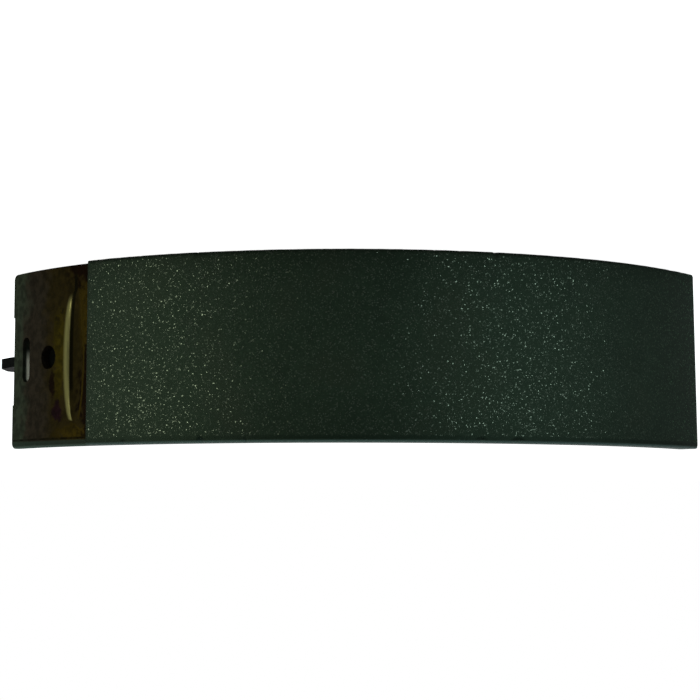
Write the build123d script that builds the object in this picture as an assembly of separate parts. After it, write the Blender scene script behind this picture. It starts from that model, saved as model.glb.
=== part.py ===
from build123d import *
from math import cos, degrees, radians, sin, sqrt
import os

os.makedirs("parts", exist_ok=True)

# Driving dimensions, in millimetres and degrees
# The shoe lies on its side with the drum axis upright. Angles run round the drum axis from the
# crown of the lining: the toe, which is the bare end, lies towards +X and the heel towards -X.
# Places on the table are lengths along its outer face from the toe end.
drum_diameter = 279.4
shoe_width = 57.15

lining_thickness = 4.8
lining_edge_break = 0.35
toe_bare_length = 45.24
heel_bare_length = 4.0

table_thickness = 2.7
table_toe_angle = 54.3
table_heel_angle = 56.4
table_corner_radius = 2.0
table_edge_radius = 0.6
end_recess_length = 28.7
end_recess_depth = 1.2

slot_from_end = 9.4
slot_length = 14.6
slot_width = 4.4
round_hole_from_end = 22.4
round_hole_diameter = 7.6

bead_from_end = 35.6
bead_length = 43.0
bead_width = 7.6
bead_depth = 1.5
bead_clearance = 0.3

web_thickness = 3.3
web_depth = 37.0
toe_overhang = 10.47
heel_overhang = 5.54
end_width = 14.15
end_face_length = 26.8
end_step_below_table = 0.4
end_step_clearance = 0.3
end_tip_radius = 2.0
end_toe_radius = 4.0
end_blend_radius = 8.0

hold_down_hole_diameter = 8.5
spring_hole_diameter = 6.5
spring_hole_from_tip = 19.0
spring_hole_above_face = 17.0
anchor_pin_diameter = 16.0
anchor_notch_from_tip = 13.5
strut_notch_from_tip = 57.0
strut_notch_width = 6.5
strut_notch_depth = 8.0
strut_notch_corner_radius = 1.0

weld_leg = 2.2
weld_length = 14.0
weld_from_heel_end = 15.0
weld_from_bead = 23.0
weld_count = 6
toe_weld_length = 10.0

# Sizes that follow from those above
lining_radius = drum_diameter / 2
table_outer_radius = lining_radius - lining_thickness
table_inner_radius = table_outer_radius - table_thickness
tip_radius = table_outer_radius - end_step_below_table
middle = shoe_width / 2


def angle_from_toe_end(length):
    """The angle from the crown of a place on the table that lies this far from its toe end."""
    return table_toe_angle - degrees(length / table_outer_radius)


bead_angle = angle_from_toe_end(bead_from_end)
bead_section_radius = bead_width**2 / (8 * bead_depth) + bead_depth / 2
bead_bend_radius = bead_length**2 / (8 * bead_depth) + bead_depth / 2


def ring_sector(inner, outer, start, end, bottom, top):
    """A length of flat-sided ring round the drum axis, between two angles from the crown."""
    section = Plane.XZ * Pos((inner + outer) / 2, (bottom + top) / 2) * Rectangle(outer - inner, top - bottom)
    return Rot(0, 0, start - 90) * revolve(section, Axis.Z, end - start)


def point_at(radius, angle):
    """The place at a radius and an angle from the crown, in the plane of the web."""
    return (radius * sin(radians(angle)), -radius * cos(radians(angle)))


def radial_plane(angle, radius):
    """A plane across the radius at mid width, its X along the drum axis and its Z outwards."""
    x, y = point_at(radius, angle)
    return Plane(origin=(x, y, middle), x_dir=(0, 0, 1), z_dir=(x, y, 0))


def bead_form(section_radius):
    """The bent round bar that presses the lens-shaped bead, lying across the strip."""
    deepest = point_at(table_outer_radius - bead_depth + bead_section_radius, bead_angle)
    along_strip = (cos(radians(bead_angle)), sin(radians(bead_angle)), 0)
    bar_plane = Plane(origin=(*deepest, middle), x_dir=(0, 0, 1), z_dir=along_strip)
    bend_radius = bead_bend_radius - bead_section_radius
    half_turn = degrees(bead_length / bend_radius)
    upper_half = JernArc((0, 0), (1, 0), bend_radius, half_turn)
    lower_half = JernArc((0, 0), (-1, 0), bend_radius, -half_turn)
    bar_line = bar_plane * Wire([lower_half, upper_half])
    return sweep(Plane(origin=bar_line @ 0, z_dir=bar_line % 0) * Circle(section_radius), path=bar_line)


def build_lining():
    """The bonded friction block, ground to the drum's radius, its outer edges lightly broken."""
    heel_angle = table_heel_angle - degrees(heel_bare_length / table_outer_radius)
    toe_angle = angle_from_toe_end(toe_bare_length)
    block = ring_sector(table_outer_radius, lining_radius, -heel_angle, toe_angle, 0, shoe_width)
    friction_face = block.faces().sort_by(lambda face: face.area)[-1]
    return chamfer(friction_face.edges(), lining_edge_break)


def build_table():
    """The rolled strip that carries the lining, with its end recesses, two holes and pressed bead."""
    strip = ring_sector(
        table_inner_radius, table_outer_radius, -table_heel_angle, table_toe_angle, 0, shoe_width
    )
    corners = strip.edges().filter_by(GeomType.LINE).filter_by(
        lambda edge: abs(edge.length - table_thickness) < table_thickness / 100
    )
    strip = fillet(corners, table_corner_radius)
    inner_face, outer_face = strip.faces().sort_by(lambda face: face.area)[-2:]
    strip = fillet(inner_face.edges() + outer_face.edges(), table_edge_radius)

    recess_turn = degrees(end_recess_depth / table_outer_radius)
    for end, turn in ((table_toe_angle, recess_turn), (-table_heel_angle, -recess_turn)):
        first, last = sorted((end - turn, end + turn))
        strip -= ring_sector(
            table_inner_radius - table_thickness,
            table_outer_radius + table_thickness,
            first,
            last,
            middle - end_recess_length / 2,
            middle + end_recess_length / 2,
        )

    slot_plane = radial_plane(angle_from_toe_end(slot_from_end), table_inner_radius)
    slot = slot_plane * SlotOverall(slot_length, slot_width)
    strip -= extrude(slot, amount=2 * table_thickness, both=True)
    hole_plane = radial_plane(angle_from_toe_end(round_hole_from_end), table_inner_radius)
    round_hole = hole_plane * Circle(round_hole_diameter / 2)
    strip -= extrude(round_hole, amount=2 * table_thickness, both=True)

    bead_half_turn = degrees(bead_width / table_inner_radius)
    under_strip = ring_sector(
        table_inner_radius - 2 * bead_depth,
        table_inner_radius + table_thickness / 2,
        bead_angle - bead_half_turn,
        bead_angle + bead_half_turn,
        0,
        shoe_width,
    )
    strip += bead_form(bead_section_radius + table_thickness) & under_strip
    return strip - bead_form(bead_section_radius)


def web_end(table_angle, overhang):
    """One end of the web: the angle of its step past the table, and the places of its tip and face."""
    step_angle = table_angle + degrees((end_step_clearance - end_recess_depth) / table_inner_radius)
    tip_angle = table_angle + degrees(overhang / tip_radius)
    tip_x, rim_y = point_at(tip_radius, tip_angle)
    return step_angle, tip_angle, tip_x, rim_y + end_width


toe_step, toe_tip_angle, toe_x, toe_face_y = web_end(table_toe_angle, toe_overhang)
heel_step, heel_tip_angle, heel_x, heel_face_y = web_end(table_heel_angle, heel_overhang)

# The origin lies on the floor, under the middle of the shoe's outline
frame = Pos((heel_x - toe_x) / 2, (lining_radius - max(toe_face_y, heel_face_y)) / 2, 0)


def web_outline():
    """The stamped crescent: its outer edge meets the table, and both ends run past the table's ends.

    Returns the outline and the curve of its inner edge.
    """
    outer_edge = ThreePointArc(
        point_at(table_inner_radius, -heel_step),
        point_at(table_inner_radius, 0),
        point_at(table_inner_radius, toe_step),
    )
    toe_rim = ThreePointArc(
        point_at(tip_radius, toe_step),
        point_at(tip_radius, (toe_step + toe_tip_angle) / 2),
        point_at(tip_radius, toe_tip_angle),
    )
    heel_rim = ThreePointArc(
        point_at(tip_radius, -heel_tip_angle),
        point_at(tip_radius, -(heel_step + heel_tip_angle) / 2),
        point_at(tip_radius, -heel_step),
    )
    toe_corner = (toe_x, toe_face_y)
    heel_corner = (-heel_x, heel_face_y)
    toe_blend = (toe_x - end_face_length, toe_face_y)
    heel_blend = (end_face_length - heel_x, heel_face_y)
    inner_edge = ThreePointArc(toe_blend, (0, web_depth - table_inner_radius), heel_blend)
    outline = make_face(
        [
            outer_edge,
            Line(outer_edge @ 1, toe_rim @ 0),
            toe_rim,
            Line(toe_rim @ 1, toe_corner),
            Line(toe_corner, toe_blend),
            inner_edge,
            Line(heel_blend, heel_corner),
            Line(heel_corner, heel_rim @ 0),
            heel_rim,
            Line(heel_rim @ 1, outer_edge @ 0),
        ]
    )
    corners = (
        (toe_rim @ 1, end_tip_radius),
        (heel_rim @ 0, end_tip_radius),
        (toe_corner, end_toe_radius),
        (heel_corner, end_toe_radius),
        (toe_blend, end_blend_radius),
        (heel_blend, end_blend_radius),
    )
    for place, radius in corners:
        nearest = outline.vertices().sort_by_distance(place)[0]
        outline = fillet(nearest, radius)
    return outline, inner_edge


def strut_notch(inner_edge):
    """The slot that takes the strut, cut from the inner edge straight towards the crown."""
    x = toe_x - strut_notch_from_tip
    arc_middle = inner_edge.arc_center
    mouth_y = arc_middle.Y - sqrt(inner_edge.radius**2 - (x - arc_middle.X) ** 2)
    notch = RectangleRounded(strut_notch_width, 2 * strut_notch_depth, strut_notch_corner_radius)
    return Pos(x, mouth_y) * notch


def weld_stitch(angle, length):
    """One short fillet weld on each side of the web, where its edge meets the table."""
    turn = degrees(length / table_inner_radius)
    stitch = Part()
    for side in (-1, 1):
        root = middle + side * web_thickness / 2
        section = Plane.XZ * make_face(
            Polyline(
                (table_inner_radius, root),
                (table_inner_radius - weld_leg, root),
                (table_inner_radius, root + side * weld_leg),
                close=True,
            )
        )
        stitch += Rot(0, 0, angle - turn / 2 - 90) * revolve(section, Axis.Z, turn)
    return stitch


def build_web():
    """The stamped web with its holes, anchor seat and strut notch, welded along the table."""
    outline, inner_edge = web_outline()
    outline -= Pos(0, web_depth / 2 - table_inner_radius) * Circle(hold_down_hole_diameter / 2)
    for hole_x, face_y in (
        (toe_x - spring_hole_from_tip, toe_face_y),
        (spring_hole_from_tip - heel_x, heel_face_y),
    ):
        outline -= Pos(hole_x, face_y - spring_hole_above_face) * Circle(spring_hole_diameter / 2)
    outline -= Pos(anchor_notch_from_tip - heel_x, heel_face_y) * Circle(anchor_pin_diameter / 2)
    outline -= strut_notch(inner_edge)
    web = Pos(0, 0, middle - web_thickness / 2) * extrude(outline, amount=web_thickness)

    first = degrees(weld_from_heel_end / table_inner_radius) - table_heel_angle
    last = bead_angle - degrees(weld_from_bead / table_inner_radius)
    for index in range(weld_count):
        web += weld_stitch(first + (last - first) * index / (weld_count - 1), weld_length)
    web += weld_stitch(angle_from_toe_end(round_hole_from_end), toe_weld_length)
    return web - bead_form(bead_section_radius + table_thickness + bead_clearance)


nodes = {
    "brake_lining": build_lining(),
    "shoe_table": build_table(),
    "shoe_web": build_web(),
}
for name, shape in nodes.items():
    export_step(frame * shape, f"parts/{name}.step")
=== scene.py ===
from math import cos, pi, radians, sin

import bpy
from mathutils import Matrix, Vector


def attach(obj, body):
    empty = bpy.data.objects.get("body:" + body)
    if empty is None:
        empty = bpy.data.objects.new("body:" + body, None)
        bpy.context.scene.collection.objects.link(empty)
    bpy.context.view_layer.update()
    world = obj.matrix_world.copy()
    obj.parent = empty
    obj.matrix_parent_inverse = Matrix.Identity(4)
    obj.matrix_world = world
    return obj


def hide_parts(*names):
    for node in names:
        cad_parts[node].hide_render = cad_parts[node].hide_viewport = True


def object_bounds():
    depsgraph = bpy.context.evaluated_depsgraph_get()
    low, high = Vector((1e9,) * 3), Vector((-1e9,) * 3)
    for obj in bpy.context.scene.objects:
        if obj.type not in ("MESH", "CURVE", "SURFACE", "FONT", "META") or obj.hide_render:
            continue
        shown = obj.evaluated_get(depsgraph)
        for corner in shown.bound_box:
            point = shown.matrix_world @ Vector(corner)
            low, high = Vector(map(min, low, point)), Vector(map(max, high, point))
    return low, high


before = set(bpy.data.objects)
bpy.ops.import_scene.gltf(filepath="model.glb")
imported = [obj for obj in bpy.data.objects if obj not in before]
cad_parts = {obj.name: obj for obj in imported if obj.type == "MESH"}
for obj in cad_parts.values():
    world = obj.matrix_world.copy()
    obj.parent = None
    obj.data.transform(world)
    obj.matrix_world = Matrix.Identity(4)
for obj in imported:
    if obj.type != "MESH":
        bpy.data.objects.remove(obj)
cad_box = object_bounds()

# The web: one stamped crescent of 3.3 mm steel that carries the table and takes the brake's
# pins and springs. It is dipped in black paint, which shows the sheet's faint waviness. A film
# of dust lies on it, wiped off at the toe end.
paint_black = (0.0007, 0.0010, 0.0009, 1)
paint_specks = (0.0022, 0.0030, 0.0026, 1)
paint_roughness = 0.6
dust_film = (0.0056, 0.0070, 0.0064, 1)
dust_specks = (0.0110, 0.0132, 0.0120, 1)
dust_fades_from = 0.078
dust_fades_to = 0.091


def set_inputs(tree, node, inputs):
    """Sets a node's inputs, each to a value or to another node's output socket."""
    for key, value in inputs.items():
        if isinstance(value, bpy.types.NodeSocket):
            tree.links.new(value, node.inputs[key])
        else:
            node.inputs[key].default_value = value


def add(tree, kind, inputs=None, **settings):
    """A new node in the tree, with its settings and its inputs."""
    node = tree.nodes.new(kind)
    for name, value in settings.items():
        setattr(node, name, value)
    set_inputs(tree, node, inputs or {})
    return node


def maths(tree, operation, *values):
    """The result of one Math node."""
    return add(tree, "ShaderNodeMath", dict(enumerate(values)), operation=operation).outputs[0]


def plus(tree, first, second):
    """The sum of two numbers."""
    return maths(tree, "ADD", first, second)


def minus(tree, first, second):
    """The first number less the second."""
    return maths(tree, "SUBTRACT", first, second)


def times(tree, first, second):
    """The product of two numbers."""
    return maths(tree, "MULTIPLY", first, second)


def outside(tree, mask):
    """The mask turned round: 1 where it is 0, and 0 where it is 1."""
    return maths(tree, "SUBTRACT", 1.0, mask)


def steps(tree, value, low, high):
    """A soft mask: 0 below low, 1 above high."""
    span = {"Value": value, "From Min": low, "From Max": high}
    return add(tree, "ShaderNodeMapRange", span, interpolation_type="SMOOTHSTEP").outputs[0]


def tint(tree, mask, first, second):
    """The first colour where the mask is 0, the second where it is 1."""
    return add(tree, "ShaderNodeMix", {"Factor": mask, 6: first, 7: second}, data_type="RGBA").outputs[2]


def noise(tree, place, scale, detail, roughness=0.5):
    """Smooth noise round 0.5, with this many waves a metre."""
    look = {"Vector": place, "Scale": scale, "Detail": detail, "Roughness": roughness}
    return add(tree, "ShaderNodeTexNoise", look).outputs["Fac"]


def bumps(tree, height, strength, distance):
    """A normal that a small height tilts."""
    look = {"Height": height, "Strength": strength, "Distance": distance}
    return add(tree, "ShaderNodeBump", look).outputs[0]


def object_place(tree):
    """The place on the piece, in metres."""
    return add(tree, "ShaderNodeTexCoord").outputs["Object"]


def parts_of(tree, vector):
    """A vector's X, Y and Z."""
    return add(tree, "ShaderNodeSeparateXYZ", {0: vector}).outputs


def new_group(name, inputs, outputs):
    """An empty shader node group with number inputs and the outputs named."""
    group = bpy.data.node_groups.new(name, "ShaderNodeTree")
    for label, value in inputs.items():
        socket = group.interface.new_socket(label, in_out="INPUT", socket_type="NodeSocketFloat")
        socket.default_value = value
    for label in outputs:
        group.interface.new_socket(label, in_out="OUTPUT", socket_type="NodeSocketFloat")
    return group, group.nodes.new("NodeGroupInput").outputs, group.nodes.new("NodeGroupOutput")


# Surface grain, shared by all three finishes: fine grain, broad clouds, and a height of both
surface_grain, grain_scales, grain_result = new_group(
    "surface_grain",
    {"Grains per metre": 1500.0, "Clouds per metre": 60.0},
    ("Grain", "Clouds", "Height"),
)
place = object_place(surface_grain)
fine = noise(surface_grain, place, grain_scales["Grains per metre"], 3.0, 0.6)
broad = noise(surface_grain, place, grain_scales["Clouds per metre"], 4.0, 0.55)
relief = plus(surface_grain, fine, times(surface_grain, broad, 2.0))
set_inputs(surface_grain, grain_result, {"Grain": fine, "Clouds": broad, "Height": relief})


def new_material(name):
    """A node material with an empty Principled surface: the material, its tree and its shader."""
    material = bpy.data.materials.new(name)
    material.use_nodes = True
    tree = material.node_tree
    tree.nodes.clear()
    shader = add(tree, "ShaderNodeBsdfPrincipled")
    add(tree, "ShaderNodeOutputMaterial", {0: shader.outputs[0]})
    return material, tree, shader


def with_grain(tree, grains, clouds):
    """The grain group placed in a material with its own scales."""
    scales = {"Grains per metre": grains, "Clouds per metre": clouds}
    return add(tree, "ShaderNodeGroup", scales, node_tree=surface_grain).outputs


def coat(node_name, material):
    """Gives a CAD node its material."""
    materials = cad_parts[node_name].data.materials
    materials.clear()
    materials.append(material)


web_paint, tree, shader = new_material("black_gloss_paint")
grain = with_grain(tree, 900.0, 90.0)
specks = times(tree, steps(tree, grain["Grain"], 0.56, 0.68), steps(tree, grain["Clouds"], 0.4, 0.6))
towards_toe = parts_of(tree, object_place(tree))["X"]
filmed = outside(tree, steps(tree, towards_toe, dust_fades_from, dust_fades_to))
wiped = tint(tree, specks, paint_black, paint_specks)
left_dusty = tint(tree, specks, dust_film, dust_specks)
set_inputs(
    tree,
    shader,
    {
        "Base Color": tint(tree, filmed, wiped, left_dusty),
        "Roughness": plus(tree, times(tree, specks, 0.35), paint_roughness),
        "Normal": bumps(tree, grain["Height"], 0.25, 0.00008),
        "Specular IOR Level": 0.02,
    },
)
coat("shoe_web", web_paint)

# The table: a strip of 2.7 mm steel rolled to the shoe's curve, with its locating holes and
# the pressed lens-shaped bead. It is dark oiled steel, grey-green at its end, stained brown and
# olive beside the lining. Light and shade are painted on it: a dark line, a lit teal band and a
# lit rim along its upper edge, a line of shade and highlights at the bead, a highlight on the
# oblong hole's wall, and the lining's shadow in a rust patch. Its marks are placed in millimetres.
drum_radius = 0.1397
drum_axis_y = cad_box[0].y + drum_radius
table_radius = 0.1349

steel_teal = (0.0148, 0.0195, 0.0134, 1)
steel_grey = (0.0116, 0.0090, 0.0066, 1)
steel_brown = (0.0102, 0.0070, 0.0016, 1)
steel_olive = (0.0205, 0.0152, 0.0005, 1)
steel_gold = (0.0205, 0.0135, 0.0010, 1)
steel_rust = (0.0028, 0.0004, 0.0002, 1)
steel_plum = (0.0062, 0.0009, 0.0034, 1)
# Painted light and shade: highlights, a lit teal band and rim, and black for lines of shade
steel_highlight = (0.135, 0.126, 0.052, 1)
bare_lit_steel = (0.98, 0.98, 0.82, 1)
steel_edge_lit = (0.0125, 0.0205, 0.0170, 1)
steel_rim_lit = (0.044, 0.066, 0.061, 1)
painted_shade_black = (0.0010, 0.0007, 0.0001, 1)


def long_side(tree, first, second):
    """The long side of the right-angled triangle that has these two short sides."""
    squares = plus(tree, maths(tree, "POWER", first, 2.0), maths(tree, "POWER", second, 2.0))
    return maths(tree, "SQRT", squares)


def strip_place(tree):
    """Millimetres along the table from the crown, up from the floor, and out from the drum axis."""
    parts = parts_of(tree, object_place(tree))
    away = minus(tree, drum_axis_y, parts["Y"])
    along = times(tree, maths(tree, "ARCTAN2", parts["X"], away), table_radius * 1000)
    out = times(tree, long_side(tree, parts["X"], away), 1000.0)
    return along, times(tree, parts["Z"], 1000.0), out


def along_at(angle):
    """Millimetres along the table at an angle from the crown."""
    return radians(angle) * table_radius * 1000


def between(tree, value, low, high, soft):
    """A soft mask: 1 from low to high, fading to 0 over the softness on both sides."""
    rise = steps(tree, value, low - soft, low)
    fall = steps(tree, value, high, high + soft)
    return minus(tree, rise, fall)


def stain_mask(tree, along, up, blots, centre, half_size):
    """A ragged oval: 1 in its middle, fading to 0 at its half sizes along and up."""
    share_along = maths(tree, "DIVIDE", minus(tree, along, centre[0]), half_size[0])
    share_up = maths(tree, "DIVIDE", minus(tree, up, centre[1]), half_size[1])
    reach = long_side(tree, share_along, share_up)
    ragged = plus(tree, reach, times(tree, minus(tree, blots, 0.5), 2.6))
    return outside(tree, steps(tree, ragged, 0.5, 1.05))


def scaled(tree, vector, factor):
    """A vector or colour times a number."""
    return add(tree, "ShaderNodeVectorMath", {0: vector, "Scale": factor}, operation="SCALE").outputs[0]


table_steel, tree, shader = new_material("oiled_steel")
grain = with_grain(tree, 1300.0, 140.0)
blots = with_grain(tree, 2600.0, 420.0)
along, up, out = strip_place(tree)

# The grey turns greenish at the toe end and brown beside the lining, each along a wandering line
wandering = plus(tree, along, times(tree, minus(tree, grain["Clouds"], 0.5), 18.0))
colour = tint(tree, steps(tree, wandering, along_at(49.0), along_at(52.0)), steel_grey, steel_teal)
browned = outside(tree, steps(tree, wandering, along_at(43.5), along_at(47.0)))
colour = tint(tree, browned, colour, steel_brown)

# Oil and rust stains: the colour, the middle's angle and height, and the half sizes
for stain, angle, height, half_size in (
    (steel_olive, 42.2, 27.0, (4.5, 21.0)),
    (steel_gold, 37.5, 17.0, (3.6, 17.0)),
    (steel_gold, 39.0, 53.0, (11.0, 3.4)),
    # The dark rust patch beside the lining's toe end is rust with the lining's shadow painted in
    (steel_rust, 36.6, 41.0, (5.4, 18.0)),
    (steel_rust, 38.0, 2.0, (8.5, 4.8)),
    (steel_brown, 42.8, 8.0, (6.0, 8.0)),
    (steel_plum, 42.7, 46.0, (3.2, 3.6)),
    (steel_rust, 43.9, 38.0, (1.6, 5.5)),
):
    stained = stain_mask(tree, along, up, blots["Clouds"], (along_at(angle), height), half_size)
    colour = tint(tree, stained, colour, stain)
blotchy = plus(tree, times(tree, steps(tree, blots["Clouds"], 0.36, 0.64), 0.7), 0.65)
colour = scaled(tree, colour, blotchy)

# At the upper edge a painted line of shade, a lit teal band and a lit rim start at these heights
shade_line_height = 54.4
lit_edge_height = 54.8
lit_rim_height = 56.2
line_shade = plus(tree, 0.35, times(tree, steps(tree, blots["Clouds"], 0.4, 0.55), 0.6))
edge_shade_line = times(tree, between(tree, up, shade_line_height, shade_line_height + 0.3, 0.35), line_shade)
colour = tint(tree, edge_shade_line, colour, painted_shade_black)
colour = tint(tree, times(tree, steps(tree, up, lit_edge_height, lit_edge_height + 0.6), 0.9), colour, steel_edge_lit)
colour = tint(tree, steps(tree, up, lit_rim_height, lit_rim_height + 0.8), colour, steel_rim_lit)

# The bead is lens-shaped: this is its half width at each height, as a share of the greatest
bead_angle = 39.1
bead_middle_up = 28.8
bead_half_length = 20.5
bead_bulge = 2.8
share_up = maths(tree, "DIVIDE", minus(tree, up, bead_middle_up), bead_half_length)
lens = outside(tree, maths(tree, "POWER", share_up, 2.0))
lens = maths(tree, "SQRT", maths(tree, "MAXIMUM", lens, 0.0))

# The outer face and its groove lie further than this from the drum axis, the inner face nearer
face_parting = 133.0
outer_face = steps(tree, out, face_parting - 0.2, face_parting + 0.2)

# A painted line of shade follows the bead on its toe side, and past it lies a painted highlight of bright
# metallic steel
past_line = minus(tree, along, plus(tree, along_at(bead_angle), times(tree, lens, bead_bulge)))
groove_shade_line = times(tree, between(tree, past_line, -0.45, 0.45, 0.35), between(tree, up, 5.0, 38.0, 4.0))
colour = tint(tree, times(tree, groove_shade_line, outer_face), colour, painted_shade_black)
highlight_end = plus(tree, 1.5, times(tree, lens, 1.2))
bead_highlight = outside(tree, steps(tree, minus(tree, past_line, highlight_end), -0.9, 0.6))
bead_highlight = times(tree, bead_highlight, steps(tree, past_line, 0.3, 0.9))
bead_highlight = times(tree, bead_highlight, steps(tree, up, 8.6, 13.0))
bead_highlight = times(tree, bead_highlight, times(tree, outer_face, steps(tree, lens, 0.05, 0.3)))
colour = tint(tree, bead_highlight, colour, steel_highlight)

# A thin golden line of painted highlight follows the bead on its heel side
from_heel_rim = plus(tree, past_line, plus(tree, 0.9, times(tree, lens, 2 * bead_bulge)))
heel_rim_highlight = times(tree, between(tree, from_heel_rim, -0.2, 0.2, 0.5), steps(tree, lens, 0.2, 0.5))
colour = tint(tree, times(tree, heel_rim_highlight, outer_face), colour, steel_gold)

# Part of the oblong hole's wall, on its toe side, is bare steel with a painted highlight that makes it
# near-white
slot_along = between(tree, along, along_at(50.8), along_at(51.8), 0.6)
slot_wall_highlight = times(tree, slot_along, between(tree, up, 29.5, 34.5, 5.0))
slot_wall_highlight = times(tree, slot_wall_highlight, outside(tree, steps(tree, out, 132.9, 133.9)))
colour = tint(tree, slot_wall_highlight, colour, bare_lit_steel)
roughness = plus(tree, times(tree, grain["Grain"], 0.25), 0.5)
set_inputs(
    tree,
    shader,
    {
        "Base Color": colour,
        "Metallic": times(tree, bead_highlight, 0.9),
        "Roughness": minus(tree, roughness, times(tree, bead_highlight, 0.22)),
        "Normal": bumps(tree, grain["Height"], 0.35, 0.00008),
        "Specular IOR Level": 0.03,
        "Specular Tint": (1.0, 0.92, 0.4, 1),
    },
)
coat("shoe_table", table_steel)

# The lining: a friction block moulded from resin, fibres and metal chips, ground to the
# drum's radius and bonded to the table. The chips glint in the green-black resin, and the
# ground edges are a little crumbled. Painted shade darkens it at the floor side and the heel,
# and the upper edge carries a painted line of shade beside a paler painted lit rim.
shoe_width = 0.05715

lining_dark = (0.0023, 0.0042, 0.0027, 1)
lining_light = (0.0056, 0.0096, 0.0062, 1)
lining_brown = (0.0050, 0.0062, 0.0040, 1)
# Painted light and shade along the upper edge: a line of shade and a paler lit rim
lining_shade_line = (0.0001, 0.0008, 0.0006, 1)
lining_lit_rim = (0.032, 0.050, 0.048, 1)
chip_metal = (0.046, 0.056, 0.044, 1)
cells_per_metre = 3300.0
chip_tilt = 0.42

lining, tree, shader = new_material("friction_lining")
grain = with_grain(tree, 1500.0, 45.0)
streaks = with_grain(tree, 4200.0, 260.0)
along, up = strip_place(tree)[:2]
mottle = plus(tree, times(tree, grain["Grain"], 0.5), times(tree, grain["Clouds"], 0.3))
mottle = plus(tree, mottle, times(tree, streaks["Clouds"], 0.2))
colour = tint(tree, steps(tree, mottle, 0.38, 0.62), lining_dark, lining_light)
browned = times(tree, steps(tree, grain["Clouds"], 0.5, 0.66), 0.6)
colour = tint(tree, browned, colour, lining_brown)

# It is darker towards both side edges and the heel, as painted shade at the floor side and heel,
# and a painted line of shade and a painted lit rim follow the upper edge
floor_side_shade = outside(tree, steps(tree, up, -3.0, 11.0))
upper_darkening = steps(tree, up, 40.0, 62.0)
heel_shade = outside(tree, steps(tree, along, -130.0, -98.0))
edge_and_heel_darkening = maths(tree, "MAXIMUM", maths(tree, "MAXIMUM", floor_side_shade, upper_darkening), heel_shade)
colour = scaled(tree, colour, outside(tree, times(tree, edge_and_heel_darkening, 0.5)))
colour = tint(tree, between(tree, up, 55.2, 56.0, 0.3), colour, lining_shade_line)
colour = tint(tree, steps(tree, up, lit_rim_height, lit_rim_height + 0.7), colour, lining_lit_rim)

# The chips are a few of the cells of a fine pattern, and each is tilted its own way
cell_look = {"Vector": object_place(tree), "Scale": cells_per_metre}
cells = add(tree, "ShaderNodeTexVoronoi", cell_look, feature="F1")
cell = add(tree, "ShaderNodeSeparateColor", {0: cells.outputs["Color"]}).outputs
chip = times(tree, steps(tree, cell[0], 0.82, 0.99), steps(tree, grain["Grain"], 0.32, 0.5))
chip = times(tree, chip, outside(tree, steps(tree, up, 54.9, 55.5)))


def joined(tree, x, y, z):
    """The vector with these three parts."""
    return add(tree, "ShaderNodeCombineXYZ", {"X": x, "Y": y, "Z": z}).outputs[0]


def vector_maths(tree, operation, *vectors):
    """The result of one Vector Math node."""
    return add(tree, "ShaderNodeVectorMath", dict(enumerate(vectors)), operation=operation).outputs[0]


tilt = vector_maths(tree, "SUBTRACT", joined(tree, cell[1], 0.5, cell[2]), (0.5, 0.5, 0.5))
tilt = scaled(tree, tilt, times(tree, chip, chip_tilt))
tilted = vector_maths(tree, "ADD", bumps(tree, grain["Grain"], 0.6, 0.00012), tilt)
set_inputs(
    tree,
    shader,
    {
        "Base Color": tint(tree, chip, colour, chip_metal),
        "Metallic": chip,
        "Roughness": minus(tree, 0.62, times(tree, chip, 0.34)),
        "Normal": vector_maths(tree, "NORMALIZE", tilted),
        "Specular IOR Level": 0.18,
        "Specular Tint": (0.62, 1.0, 0.68, 1),
    },
)


def new_shape_tree(name, inputs):
    """An empty geometry tree with named number inputs: the tree, its inputs and its end."""
    tree = bpy.data.node_groups.new(name, "GeometryNodeTree")
    for label in inputs:
        kind = "NodeSocketInt" if isinstance(inputs[label], int) else "NodeSocketFloat"
        tree.interface.new_socket(label, in_out="INPUT", socket_type=kind)
    tree.interface.new_socket("Geometry", in_out="OUTPUT", socket_type="NodeSocketGeometry")
    return tree, tree.nodes.new("NodeGroupInput").outputs, tree.nodes.new("NodeGroupOutput")


def finish_tree(tree, shape, result, material):
    """Ends a geometry tree in one real mesh that carries its material."""
    real = add(tree, "GeometryNodeRealizeInstances", {0: shape}).outputs[0]
    coated = add(tree, "GeometryNodeSetMaterial", {0: real, "Material": material}).outputs[0]
    tree.links.new(coated, result.inputs[0])


def grow(name, tree, values, sharp_degrees):
    """The mesh that a geometry tree makes with these named values, as an object of its own."""
    piece = bpy.data.objects.new(name, bpy.data.meshes.new(name + "_start"))
    bpy.context.scene.collection.objects.link(piece)
    modifier = piece.modifiers.new("shape", "NODES")
    modifier.node_group = tree
    for socket in tree.interface.items_tree:
        if socket.in_out == "INPUT":
            modifier[socket.identifier] = values[socket.name]
    evaluated = piece.evaluated_get(bpy.context.evaluated_depsgraph_get())
    mesh = bpy.data.meshes.new_from_object(evaluated)
    piece.modifiers.remove(modifier)
    start, piece.data = piece.data, mesh
    bpy.data.meshes.remove(start)
    mesh.name = name
    mesh.polygons.foreach_set("use_smooth", [True] * len(mesh.polygons))
    mesh.set_sharp_from_angle(angle=radians(sharp_degrees))
    return piece


# A closed block of fine cells is bent round the drum axis. Its cells lie closest at the side
# edges, which are rounded, and the rounding swells by noise where the edge has crumbled.
block_sizes = {
    "Bond radius": table_radius,
    "Thickness": drum_radius - table_radius,
    "Width": shoe_width,
    "Heel angle": radians(-54.7),
    "Heel slant": radians(-0.6),
    "Toe angle": radians(35.085),
    "Edge radius": 0.0012,
    "End edge": 0.0004,
    "Crumble": 0.0030,
    "Seed": 3,
}
block_cells = {"Vertices X": 440, "Vertices Y": 60, "Vertices Z": 5, "Size": (1, 1, 1)}
tree, given, result = new_shape_tree("friction_block", block_sizes)
cube = add(tree, "GeometryNodeMeshCube", block_cells).outputs[0]
local = parts_of(tree, add(tree, "GeometryNodeInputPosition").outputs[0])

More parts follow.
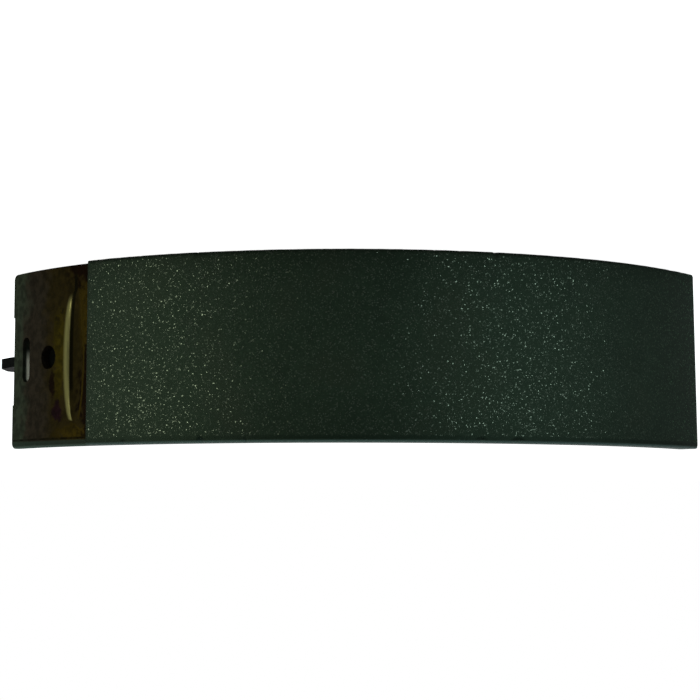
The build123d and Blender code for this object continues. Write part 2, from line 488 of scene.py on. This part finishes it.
# The cube's X becomes the angle, its Y the height and its Z the layer
around = plus(tree, local["X"], 0.5)
across = times(tree, maths(tree, "SINE", times(tree, local["Y"], pi)), 0.5)
height = times(tree, plus(tree, across, 0.5), given["Width"])
layer = plus(tree, local["Z"], 0.5)
slant = times(tree, plus(tree, across, 0.2), given["Heel slant"])
heel = plus(tree, given["Heel angle"], slant)
angle = plus(tree, heel, times(tree, minus(tree, given["Toe angle"], heel), around))
arc = times(tree, angle, plus(tree, given["Bond radius"], given["Thickness"]))

# The rounding of the side edges, with crumbled stretches
upper_edge = maths(tree, "GREATER_THAN", across, 0.0)
edge_place = joined(tree, arc, upper_edge, times(tree, given["Seed"], 0.37))
ripple = noise(tree, edge_place, 240.0, 3.0)
crumbs = noise(tree, edge_place, 620.0, 2.0)
rounding = times(tree, given["Edge radius"], plus(tree, ripple, 0.5))
crumbled = times(tree, steps(tree, crumbs, 0.60, 0.78), given["Crumble"])
rounding = plus(tree, rounding, times(tree, crumbled, 0.35))

# Nicks: the angle in degrees, the edge (1 is the upper one), the half length and the depth
for nick_angle, nick_edge, nick_half, nick_depth in (
    (18.0, 1.0, 0.0016, 0.0016),
    (-16.5, 1.0, 0.0022, 0.0012),
    (-21.5, 1.0, 0.0030, 0.0015),
    (-18.75, 0.0, 0.0012, 0.0012),
    (29.0, 1.0, 0.0014, 0.0010),
):
    far = maths(tree, "ABSOLUTE", minus(tree, arc, radians(nick_angle) * drum_radius))
    near = outside(tree, steps(tree, far, 0.0, nick_half))
    on_edge = maths(tree, "COMPARE", upper_edge, nick_edge, 0.1)
    rounding = plus(tree, rounding, times(tree, times(tree, near, on_edge), nick_depth))

# The face drops by a quarter circle at the side edges and by a small bevel at both ends
to_edge = maths(tree, "MINIMUM", height, minus(tree, given["Width"], height))
short = maths(tree, "MAXIMUM", minus(tree, rounding, to_edge), 0.0)
chord = minus(tree, maths(tree, "POWER", rounding, 2.0), maths(tree, "POWER", short, 2.0))
side_drop = minus(tree, rounding, maths(tree, "SQRT", maths(tree, "MAXIMUM", chord, 0.0)))
at_end = maths(tree, "LESS_THAN", maths(tree, "MINIMUM", around, outside(tree, around)), 0.001)
drop = maths(tree, "MAXIMUM", side_drop, times(tree, at_end, given["End edge"]))
thick = times(tree, minus(tree, given["Thickness"], drop), layer)
radius = plus(tree, given["Bond radius"], thick)
towards_crown = times(tree, radius, maths(tree, "COSINE", angle))
bent = joined(
    tree, times(tree, radius, maths(tree, "SINE", angle)), minus(tree, drum_axis_y, towards_crown), height
)
placed = add(tree, "GeometryNodeSetPosition", {0: cube, "Position": bent}).outputs[0]
finish_tree(tree, placed, result, lining)
block = grow("friction_block", tree, block_sizes, 40)
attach(block, "root")
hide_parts("brake_lining")

# The weld ripples: the fillet welds that hold the web in the table were laid drop by drop, so
# each stitch is a row of rounded steel drops along both sides of the web, painted with it.
middle = shoe_width / 2
table_thickness = 0.0027
web_thickness = 0.0033
drop_inset = 0.00075
weld_sizes = {
    "Weld radius": table_radius - table_thickness - drop_inset,
    "Side offset": web_thickness / 2 + drop_inset,
    "Stitches": 6,
    "Drops": 9,
    "First angle": radians(-49.9),
    "Stitch step": radians(15.82),
    "Toe stitch angle": radians(44.79),
    "Drop step": radians(0.62),
    "Toe drop step": radians(0.44),
    "Drop radius": 0.00085,
    "Seed": 5,
}
tree, given, result = new_shape_tree("weld_ripples", weld_sizes)

# Each point's number says its side of the web, its stitch and its place in the stitch
per_side = times(tree, given["Drops"], plus(tree, given["Stitches"], 1.0))
row = add(tree, "GeometryNodeMeshLine", {"Count": times(tree, per_side, 2.0)}).outputs[0]
number = add(tree, "GeometryNodeInputIndex").outputs[0]
side = maths(tree, "GREATER_THAN", number, minus(tree, per_side, 0.5))
on_side = minus(tree, number, times(tree, side, per_side))
stitch = maths(tree, "FLOOR", maths(tree, "DIVIDE", plus(tree, on_side, 0.5), given["Drops"]))
in_stitch = minus(tree, on_side, times(tree, stitch, given["Drops"]))
from_middle = minus(tree, in_stitch, times(tree, minus(tree, given["Drops"], 1.0), 0.5))
is_toe = maths(tree, "GREATER_THAN", stitch, minus(tree, given["Stitches"], 0.5))


def for_toe(tree, plain, toe):
    """The toe stitch's value where the drop belongs to it, the plain one elsewhere."""
    return plus(tree, plain, times(tree, minus(tree, toe, plain), is_toe))


plain_angle = plus(tree, given["First angle"], times(tree, stitch, given["Stitch step"]))
stitch_angle = for_toe(tree, plain_angle, given["Toe stitch angle"])
drop_step = for_toe(tree, given["Drop step"], given["Toe drop step"])
drop_angle = plus(tree, stitch_angle, times(tree, from_middle, drop_step))
drop_x = times(tree, given["Weld radius"], maths(tree, "SINE", drop_angle))
towards_crown = times(tree, given["Weld radius"], maths(tree, "COSINE", drop_angle))
side_sign = minus(tree, times(tree, side, 2.0), 1.0)
drop_z = plus(tree, middle, times(tree, side_sign, given["Side offset"]))
drop_place = joined(tree, drop_x, minus(tree, drum_axis_y, towards_crown), drop_z)
row = add(tree, "GeometryNodeSetPosition", {0: row, "Position": drop_place}).outputs[0]
drop_form = {"Segments": 14, "Rings": 8, "Radius": given["Drop radius"]}
drop = add(tree, "GeometryNodeMeshUVSphere", drop_form).outputs[0]
spread = {2: 0.9, 3: 1.12, "ID": number, "Seed": given["Seed"]}
drop_size = add(tree, "FunctionNodeRandomValue", spread, data_type="FLOAT").outputs[1]
drops = add(
    tree,
    "GeometryNodeInstanceOnPoints",
    {
        "Points": row,
        "Instance": drop,
        "Rotation": joined(tree, 0.0, 0.0, drop_angle),
        "Scale": joined(tree, 0.8, drop_size, drop_size),
    },
).outputs[0]
finish_tree(tree, drops, result, web_paint)
ripples = grow("weld_ripples", tree, weld_sizes, 60)
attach(ripples, "root")

# The studio: a white floor, a white surround, two soft lamps beside the camera and one above
# the shoe. The picture is taken with the camera turned upside down, so the floor lies towards
# the top of it.
white = (1, 1, 1, 1)
floor_reach = 4
floor_height = -0.0003
floor_glow = 0.93

floor_white = bpy.data.materials.new("floor_white")
floor_white.use_nodes = True
tree = floor_white.node_tree
tree.nodes.clear()
rays = add(tree, "ShaderNodeLightPath").outputs
paper = add(tree, "ShaderNodeBsdfDiffuse", {"Color": (0.8, 0.8, 0.8, 1)}).outputs[0]
seen = times(tree, rays["Is Camera Ray"], floor_glow)
glow = add(tree, "ShaderNodeEmission", {"Color": white, "Strength": seen}).outputs[0]
both = add(tree, "ShaderNodeAddShader", {0: paper, 1: glow}).outputs[0]
add(tree, "ShaderNodeOutputMaterial", {0: both})

quarters = ((-1, -1), (1, -1), (1, 1), (-1, 1))
corners = [(x * floor_reach, y * floor_reach, floor_height) for x, y in quarters]
sheet_mesh = bpy.data.meshes.new("floor")
sheet_mesh.from_pydata(corners, [], [(0, 1, 2, 3)])
sheet_mesh.materials.append(floor_white)
sheet = bpy.data.objects.new("floor", sheet_mesh)
bpy.context.scene.collection.objects.link(sheet)

# Mirrored rays see the white surround only behind the shoe, and it lights the shoe weakly
surround = bpy.data.worlds.new("surround")
bpy.context.scene.world = surround
surround.use_nodes = True
tree = surround.node_tree
tree.nodes.clear()
rays = add(tree, "ShaderNodeLightPath").outputs
direction = parts_of(tree, add(tree, "ShaderNodeTexCoord").outputs["Generated"])
mirrored = maths(tree, "MAXIMUM", rays["Is Glossy Ray"], rays["Is Transmission Ray"])
mirrored = times(tree, mirrored, steps(tree, direction["Y"], 0.55, 0.8))
seen = maths(tree, "MAXIMUM", rays["Is Camera Ray"], mirrored)
fill = add(tree, "ShaderNodeBackground", {"Color": white, "Strength": 0.2}).outputs[0]
backdrop = add(tree, "ShaderNodeBackground", {"Color": white, "Strength": 1.0}).outputs[0]
shown = add(tree, "ShaderNodeMixShader", {0: seen, 1: fill, 2: backdrop}).outputs[0]
add(tree, "ShaderNodeOutputWorld", {0: shown})


def soft_lamp(name, bearing, distance, height, size, watts, colour):
    """A rectangular lamp at a bearing from the camera side, turned to the shoe."""
    data = bpy.data.lights.new(name, "AREA")
    data.shape, data.size, data.size_y = "RECTANGLE", size[0], size[1]
    data.energy, data.color = watts, colour
    lamp = bpy.data.objects.new(name, data)
    lamp.location = (distance * sin(radians(bearing)), -distance * cos(radians(bearing)), height)
    lamp.rotation_euler = (Vector((0, 0, middle)) - lamp.location).to_track_quat("-Z", "Y").to_euler()
    bpy.context.scene.collection.objects.link(lamp)


# Each lamp: its bearing, distance, height, size, watts and colour
soft_lamp("lamp_toe_side", 58, 1.1, 0.16, (0.5, 0.3), 6.8, (1.0, 1.0, 0.80))
soft_lamp("lamp_heel_side", -49, 1.1, 0.16, (0.4, 0.3), 5.8, (0.84, 1.0, 1.0))
soft_lamp("lamp_above", 180, 0.25, 1.1, (0.8, 0.5), 4.5, (0.75, 1.0, 0.97))

camera_pitch = radians(5.164)
camera_place = (-0.00107, -0.56075, 0.07707)
camera = bpy.data.objects.new("camera", bpy.data.cameras.new("camera"))
camera.data.lens, camera.data.sensor_width = 91.22, 36
camera.data.clip_start = 0.01
image_right = Vector((-1, 0, 0))
image_up = Vector((0, -sin(camera_pitch), -cos(camera_pitch)))
backwards = Vector((0, -cos(camera_pitch), sin(camera_pitch)))
turned = Matrix((image_right, image_up, backwards)).transposed().to_4x4()
camera.matrix_world = Matrix.Translation(camera_place) @ turned
bpy.context.scene.collection.objects.link(camera)
bpy.context.scene.camera = camera
bpy.context.scene.view_settings.view_transform = "Standard"
